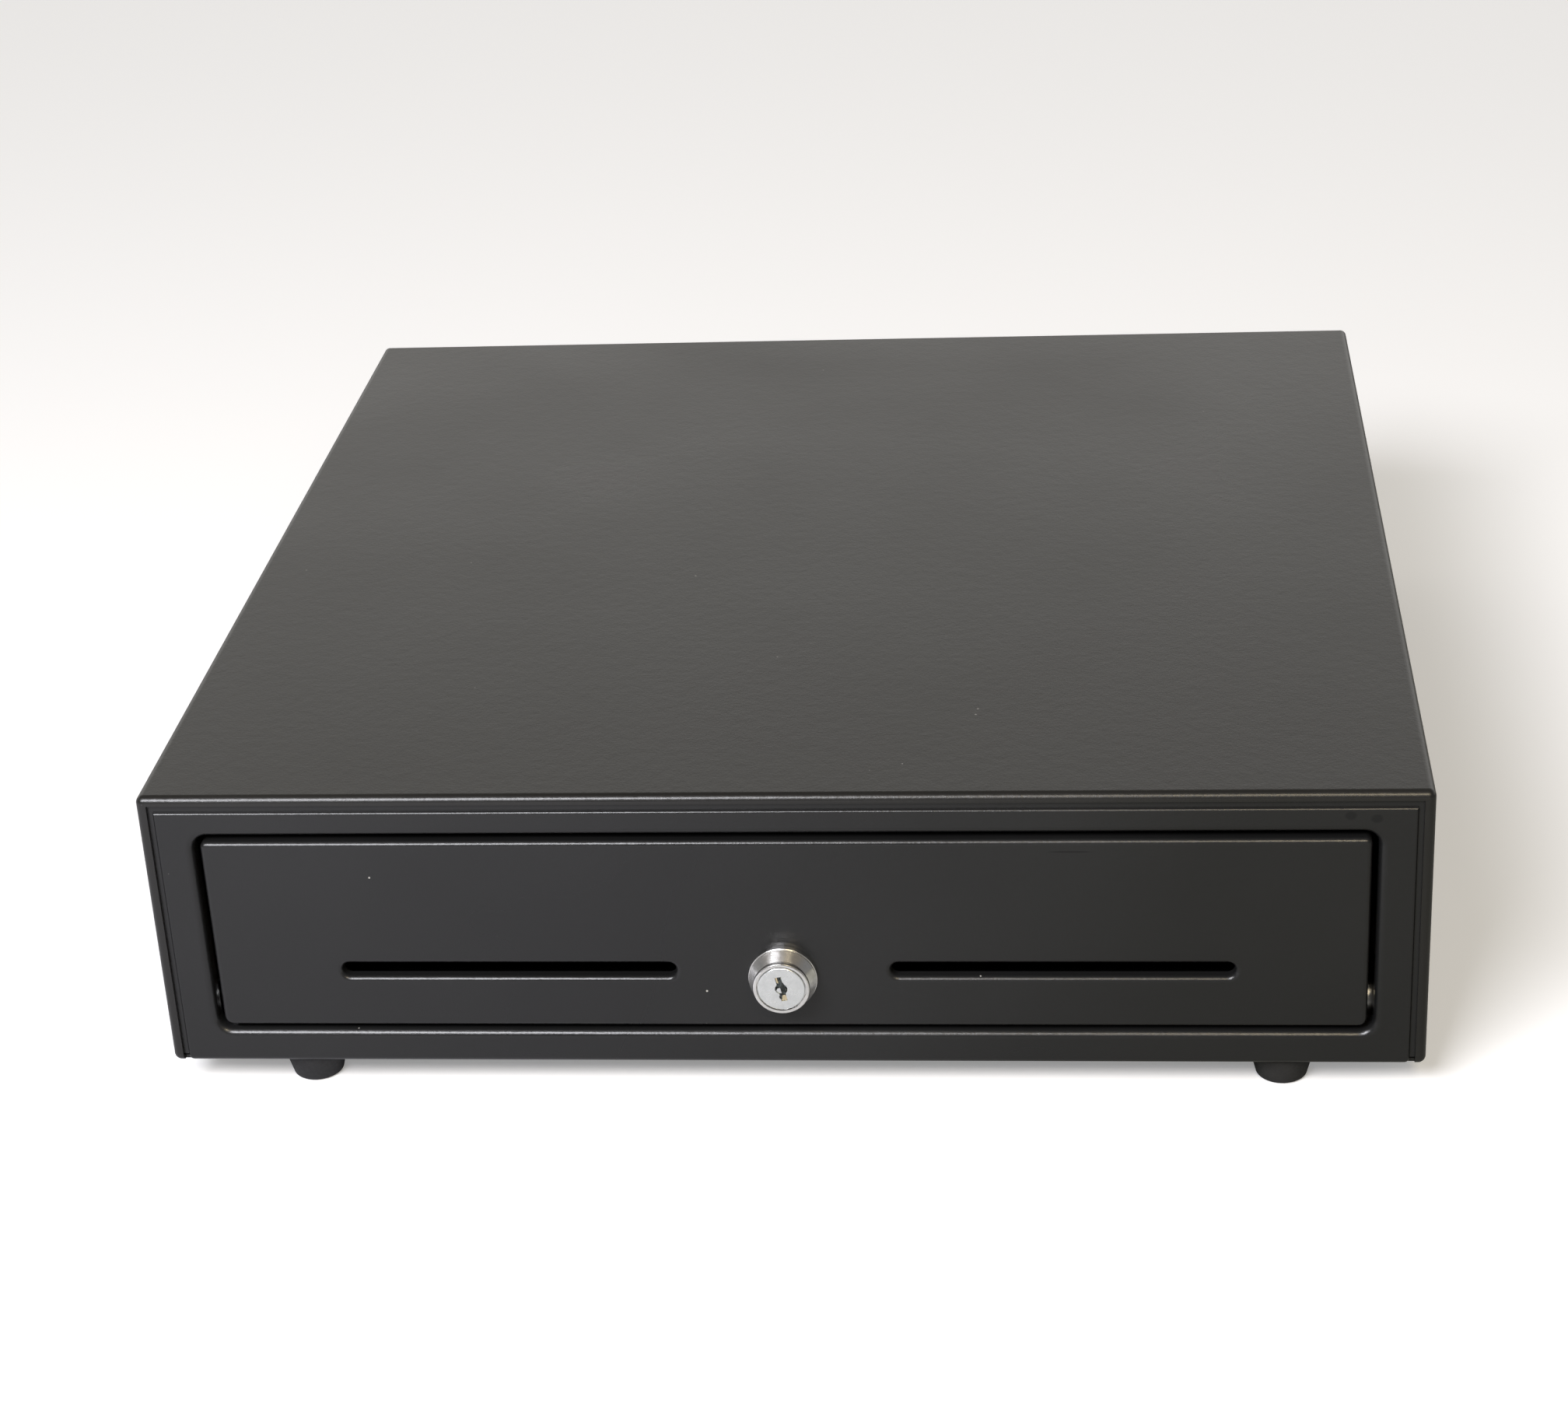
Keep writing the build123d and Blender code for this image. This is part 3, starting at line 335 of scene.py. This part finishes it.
# Marks on the front: the middle and the reach of each, in metres.
scratch = ((0.0925, cover_low.y, cover_low.z + 0.0781), (0.0078, 0.01, 0.0004))
smudge_reach = (0.0022, 0.01, 0.0018)
smudges = [
    ((x * MM, cover_low.y, cover_low.z + height * MM), smudge_reach)
    for x, height in ((179.0, 90.6), (187.0, 89.5))
]
front_coat = powder_coat(
    "front_coat", (0.0085, 0.0087, 0.009), 0.29, 0.9, (scratch, *smudges)
)
zinc = plated_steel("zinc_plate", (0.62, 0.62, 0.6), 0.3, 0.006)
bright = plated_steel("bright_steel", (0.78, 0.78, 0.77), 0.18, 0.002)
spring = plated_steel("spring_steel", (0.42, 0.42, 0.43), 0.26, 0.003)
lock_case = turned_metal("lock_case_chrome", (0.97, 0.96, 0.94), 0.14, lock_centre, 9000.0)
lock_face = turned_metal("lock_face_chrome", (0.96, 0.985, 0.98), 0.24, lock_centre, 14000.0)
till_plastic = moulded_plastic("till_plastic", (0.03, 0.03, 0.032), 0.44, 1600.0, 0.03)
clip_plastic = moulded_plastic("clip_plastic", (0.035, 0.035, 0.038), 0.38, 2200.0, 0.012)
switch_plastic = moulded_plastic("switch_plastic", (0.03, 0.03, 0.034), 0.45, 2600.0, 0.01)
nylon = moulded_plastic("guide_nylon", (0.72, 0.7, 0.64), 0.42, 2000.0, 0.008)
cable_sheath = moulded_plastic("cable_sheath", (0.02, 0.02, 0.022), 0.5, 1500.0, 0.02)

paint(housing_coat, "top_cover", "back_panel")
paint(front_coat, "front_frame", "drawer_front", "drawer_body")
paint(
    zinc,
    "base_pan",
    "left_rail",
    "right_rail",
    "left_runner",
    "right_runner",
    "rail_rivets",
    "runner_rivets",
    "panel_rivets",
    "till_ledges",
    "striker",
    "foot_screws",
    "foot_nuts",
    "base_screws",
    "mechanism_screws",
    "switch_screws",
    "front_roller_axles",
    "rear_roller_axles",
    "lock_nut",
    "lock_shaft",
    "latch_bracket",
    "latch_hook",
    "solenoid_frame",
    "ejector_guide",
    "ejector_pusher",
    "switch_bracket",
    "board_standoffs",
)
paint(
    bright,
    "front_roller_left",
    "front_roller_right",
    "rear_roller_left",
    "rear_roller_right",
    "solenoid_plunger",
)
paint(spring, "clip_pins", "clip_springs", "latch_pin", "latch_spring", "switch_lever")
paint(lock_case, "lock_body")
paint(lock_face, "lock_plug")
paint(till_plastic, "till_tray", "coin_tray")
paint(clip_plastic, *(name for name in nodes if name.startswith("bill_clip_")))
paint(switch_plastic, "microswitch", "rear_socket")
paint(nylon, "shaft_guide")
paint(cable_sheath, "solenoid_cable", "switch_cable")
paint(rubber(), "feet", "rail_buffers")
paint(wound_coil(), "solenoid_coil")
paint(circuit_board(), "socket_board")


# ---- the lock's wafers, seen in the keyway ----
wafer_thickness = 0.5       # millimetres
low_wafer = ((-0.95, -4.3), (0.95, -4.3), (0.95, -2.5), (-0.2, -2.5))
middle_wafer = ((-1.9, -0.6), (-1.4, -1.4), (-0.3, -1.9), (-0.3, 0.2), (-1.3, 0.2))
high_wafer = ((-0.95, 2.4), (-0.35, 2.0), (-0.35, 4.3), (-0.95, 4.3))


def keyway_plate(name, outline, behind):
    """A wafer so far behind the lock's face; its outline is in the leaning keyway's millimetres."""
    across = Vector((math.cos(lock_lean), 0.0, math.sin(lock_lean)))
    along = Vector((-math.sin(lock_lean), 0.0, math.cos(lock_lean)))
    origin = Vector((lock_centre.x, lock_face_y, lock_centre.z))
    vertices = []
    for depth in (behind, behind + wafer_thickness):
        for u, v in outline:
            place = origin + across * u * MM + along * v * MM
            vertices.append((place.x, place.y + depth * MM, place.z))
    count = len(outline)
    faces = [tuple(range(count)), tuple(reversed(range(count, 2 * count)))]
    for corner in range(count):
        following = (corner + 1) % count
        faces.append((following, corner, corner + count, following + count))
    piece = new_piece(name, vertices, faces)
    break_edges(piece)
    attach(piece, "lock_cylinder")
    return piece


wafers = [
    keyway_plate("lock_wafer_low", low_wafer, 0.2),
    keyway_plate("lock_wafer_middle", middle_wafer, 0.5),
    keyway_plate("lock_wafer_high", high_wafer, 0.3),
]
paint(brass(), wafers[0], wafers[2])
paint(lock_face, wafers[1])



# ---- the lock's case, with the steep skirt between its rim and its base ring ----
def turned_ring(name, centre, profile, steps=128):
    """A closed ring about an axis along Y; its profile is (behind, radius) in millimetres."""
    vertices = []
    for step in range(steps):
        angle = 2 * math.pi * step / steps
        for behind, radius in profile:
            x = centre.x + radius * MM * math.cos(angle)
            z = centre.z + radius * MM * math.sin(angle)
            vertices.append((x, centre.y + behind * MM, z))
    count = len(profile)
    faces = []
    for step in range(steps):
        low = step * count
        high = (step + 1) % steps * count
        for corner in range(count):
            following = (corner + 1) % count
            faces.append((low + corner, low + following, high + following, high + corner))
    return new_piece(name, vertices, faces)


case_low, case_high = (Vector(corner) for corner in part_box("lock_body"))
# Setbacks behind the rim and radii, in millimetres.
case_depth = (case_high.y - case_low.y) / MM
case_panel = 8.0            # the drawer front
case_rise = 1.6             # how far the base ring stands off the drawer front
case_base = case_panel - case_rise
case_overlap = 0.25         # how far the base ring sinks into the drawer front
case_base_radius = (case_high.x - case_low.x) / 2 / MM
case_groove_radius = case_base_radius - 0.8
case_bore = 7.0             # the plug turns in this
case_seat = 8.0             # the recess of the plug's head
case_seat_depth = 1.5
case_rim = 9.2
case_neck = 8.5             # behind the rim, which hides it from above
case_barrel = 9.5           # the threaded part inside the drawer
skirt_front, skirt_back = 2.9, 5.7
case_profile = [
    (case_seat_depth, case_bore),
    (case_seat_depth, case_seat),
    (0.0, case_seat),
    (0.0, case_rim - 0.45),
    (0.1, case_rim - 0.2),
    (0.4, case_rim),
    (1.2, case_rim),
    (1.6, case_neck),
    (skirt_front, case_neck),
    (skirt_back, case_base_radius - 0.2),
    (skirt_back + 0.1, case_groove_radius),
    (case_base, case_groove_radius),
    (case_base, case_base_radius - 0.15),
    (case_base + 0.12, case_base_radius),
    (case_panel + case_overlap, case_base_radius),
    (case_panel + case_overlap, case_barrel),
    (case_depth, case_barrel),
    (case_depth, case_bore),
]
case_front = Vector((lock_centre.x, case_low.y, lock_centre.z))
lock_bezel = turned_ring("lock_case", case_front, case_profile)
break_edges(lock_bezel)
paint(lock_case, lock_bezel)
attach(lock_bezel, "drawer")
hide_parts("lock_body")


# ---- the kick-out spring ----
def wire_coil(name, start, end, radius, wire, turns, steps_per_turn=24, ring=10):
    """A mesh coil along Y with closed ends."""
    axis = end - start
    count = turns * steps_per_turn
    vertices, faces = [], []
    for step in range(count + 1):
        angle = 2 * math.pi * step / steps_per_turn
        out = Vector((math.cos(angle), 0.0, math.sin(angle)))
        centre = start + axis * (step / count) + out * radius
        for corner in range(ring):
            turn = 2 * math.pi * corner / ring
            offset = out * math.cos(turn) + Vector((0.0, 1.0, 0.0)) * math.sin(turn)
            vertices.append(centre + offset * wire)
    for step in range(count):
        for corner in range(ring):
            following = (corner + 1) % ring
            low = step * ring
            high = low + ring
            faces.append((low + corner, low + following, high + following, high + corner))
    faces.append(tuple(reversed(range(ring))))
    faces.append(tuple(count * ring + corner for corner in range(ring)))
    piece = new_piece(name, [tuple(vertex) for vertex in vertices], faces)
    for polygon in piece.data.polygons:
        polygon.use_smooth = True
    return piece


spring_low, spring_high = (Vector(corner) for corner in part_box("ejector_spring"))
spring_centre = (spring_low + spring_high) / 2
spring_wire = 0.6 * MM
spring_front = Vector((spring_centre.x, spring_low.y + spring_wire, spring_centre.z))
spring_back = Vector((spring_centre.x, spring_high.y - spring_wire, spring_centre.z))
spring_radius = (spring_high.x - spring_low.x) / 2 - spring_wire
spring_turns = 8
kick_spring = wire_coil(
    "kick_out_spring", spring_front, spring_back, spring_radius, spring_wire, spring_turns
)
paint(spring, kick_spring)
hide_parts("ejector_spring")
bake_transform(kick_spring)


# ---- floor, light and camera ----
def floor():
    """A wide, pale floor under the feet, whose image in the drawer's coat is painted light: dimmer than
    the floor seen directly, bright and cool at the left, dim and warm at the right.
    """
    size = 30.0
    gap = 0.2 * MM
    corners = [(-size, -size, 0), (size, -size, 0), (size, size, 0), (-size, size, 0)]
    piece = new_piece("studio_floor", corners, [(0, 1, 2, 3)])
    piece.location.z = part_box("feet")[0][2] - gap
    pale = Material("studio_floor")
    seen = pale.node("LightPath").outputs["Is Camera Ray"]
    axes = pale.node("SeparateXYZ", {0: pale.place})
    # Painted light: for rays other than camera rays the floor's colour fades from bright cool at the left
    # to dim warm at the right, a painted reflection of the room's uneven light in the drawer's coat.
    rightward = pale.between(axes.outputs["X"], -0.08, 0.13)
    painted_reflected_light = pale.mix(rightward, (0.6, 0.61, 0.65), (0.31, 0.315, 0.285))
    glow = pale.between(axes.outputs["Y"], 0.0, 4.0, 0.28, 0.66)
    pale.set(
        Base_Color=pale.mix(seen, painted_reflected_light, (0.84, 0.84, 0.84)),
        Roughness=0.9,
        Emission_Color=(1.0, 1.0, 1.0),
        Emission_Strength=pale.math("MULTIPLY", seen, glow),
    )
    paint(pale, piece)


def softbox(name, place, target, size, radiance, colour):
    """A rectangular light; its power follows from its radiance and area."""
    lamp = bpy.data.lights.new(name, "AREA")
    lamp.shape = "RECTANGLE"
    lamp.size, lamp.size_y = size
    lamp.energy = radiance * math.pi * size[0] * size[1]
    lamp.color = colour
    piece = bpy.data.objects.new(name, lamp)
    piece.location = place
    direction = Vector(target) - Vector(place)
    piece.rotation_euler = direction.to_track_quat("-Z", "Y").to_euler()
    bpy.context.scene.collection.objects.link(piece)


def studio_world(wall, ceiling, front):
    """A dim room: a lit wall low behind the drawer, a dark ceiling, a dark near side."""
    world = bpy.data.worlds.new("studio_world")
    world.use_nodes = True
    tree = world.node_tree
    background = tree.nodes["Background"]
    coordinates = tree.nodes.new("ShaderNodeTexCoord")
    split = tree.nodes.new("ShaderNodeSeparateXYZ")
    tree.links.new(coordinates.outputs["Generated"], split.inputs[0])

    def ramp(source, low, high):
        made = tree.nodes.new("ShaderNodeMapRange")
        made.interpolation_type = "SMOOTHSTEP"
        made.inputs["From Min"].default_value = low
        made.inputs["From Max"].default_value = high
        tree.links.new(source, made.inputs["Value"])
        return made.outputs["Result"]

    def blend(factor, first, second):
        made = tree.nodes.new("ShaderNodeMix")
        made.data_type = "RGBA"
        tree.links.new(factor, made.inputs[0])
        for socket, value in ((made.inputs[6], first), (made.inputs[7], second)):
            if isinstance(value, bpy.types.NodeSocket):
                tree.links.new(value, socket)
            else:
                socket.default_value = (*value, 1.0)
        return made.outputs[2]

    rising = ramp(split.outputs["Z"], 0.3, 0.72)
    behind = ramp(split.outputs["Y"], -0.2, 0.35)
    upright = blend(behind, front, wall)
    tree.links.new(blend(rising, upright, ceiling), background.inputs["Color"])
    bpy.context.scene.world = world


def camera():
    """A short telephoto in front of the drawer, above it and a little to its right."""
    front = Vector((0.0, cover_low.y, cover_low.z))
    data = bpy.data.cameras.new("camera")
    data.sensor_width = 36.0
    data.lens = 75.39
    piece = bpy.data.objects.new("camera", data)
    right = Vector((0.9951, 0.0847, -0.0504)).normalized()
    forward = Vector((-0.0983, 0.8915, -0.4422)).normalized()
    up = right.cross(forward).normalized()
    right = forward.cross(up)
    rotation = Matrix((right, up, -forward)).transposed()
    piece.matrix_world = rotation.to_4x4()
    piece.location = front + Vector((0.1047, -0.9038, 0.5760))
    bpy.context.scene.collection.objects.link(piece)
    bpy.context.scene.camera = piece


floor()
target = (0.0, cover_low.y, cover_high.z)
softbox("overhead_left", (-0.62, -1.42, 1.28), target, (0.95, 0.62), 24.0, (0.95, 0.95, 1.0))
softbox("overhead_right", (0.42, -1.45, 1.32), target, (0.4, 0.62), 12.0, (1.0, 0.84, 0.56))
studio_world(
    wall=(1.02, 1.0, 0.96), ceiling=(0.15, 0.135, 0.115), front=(0.16, 0.16, 0.16)
)
camera()
bpy.context.scene.view_settings.view_transform = "Standard"
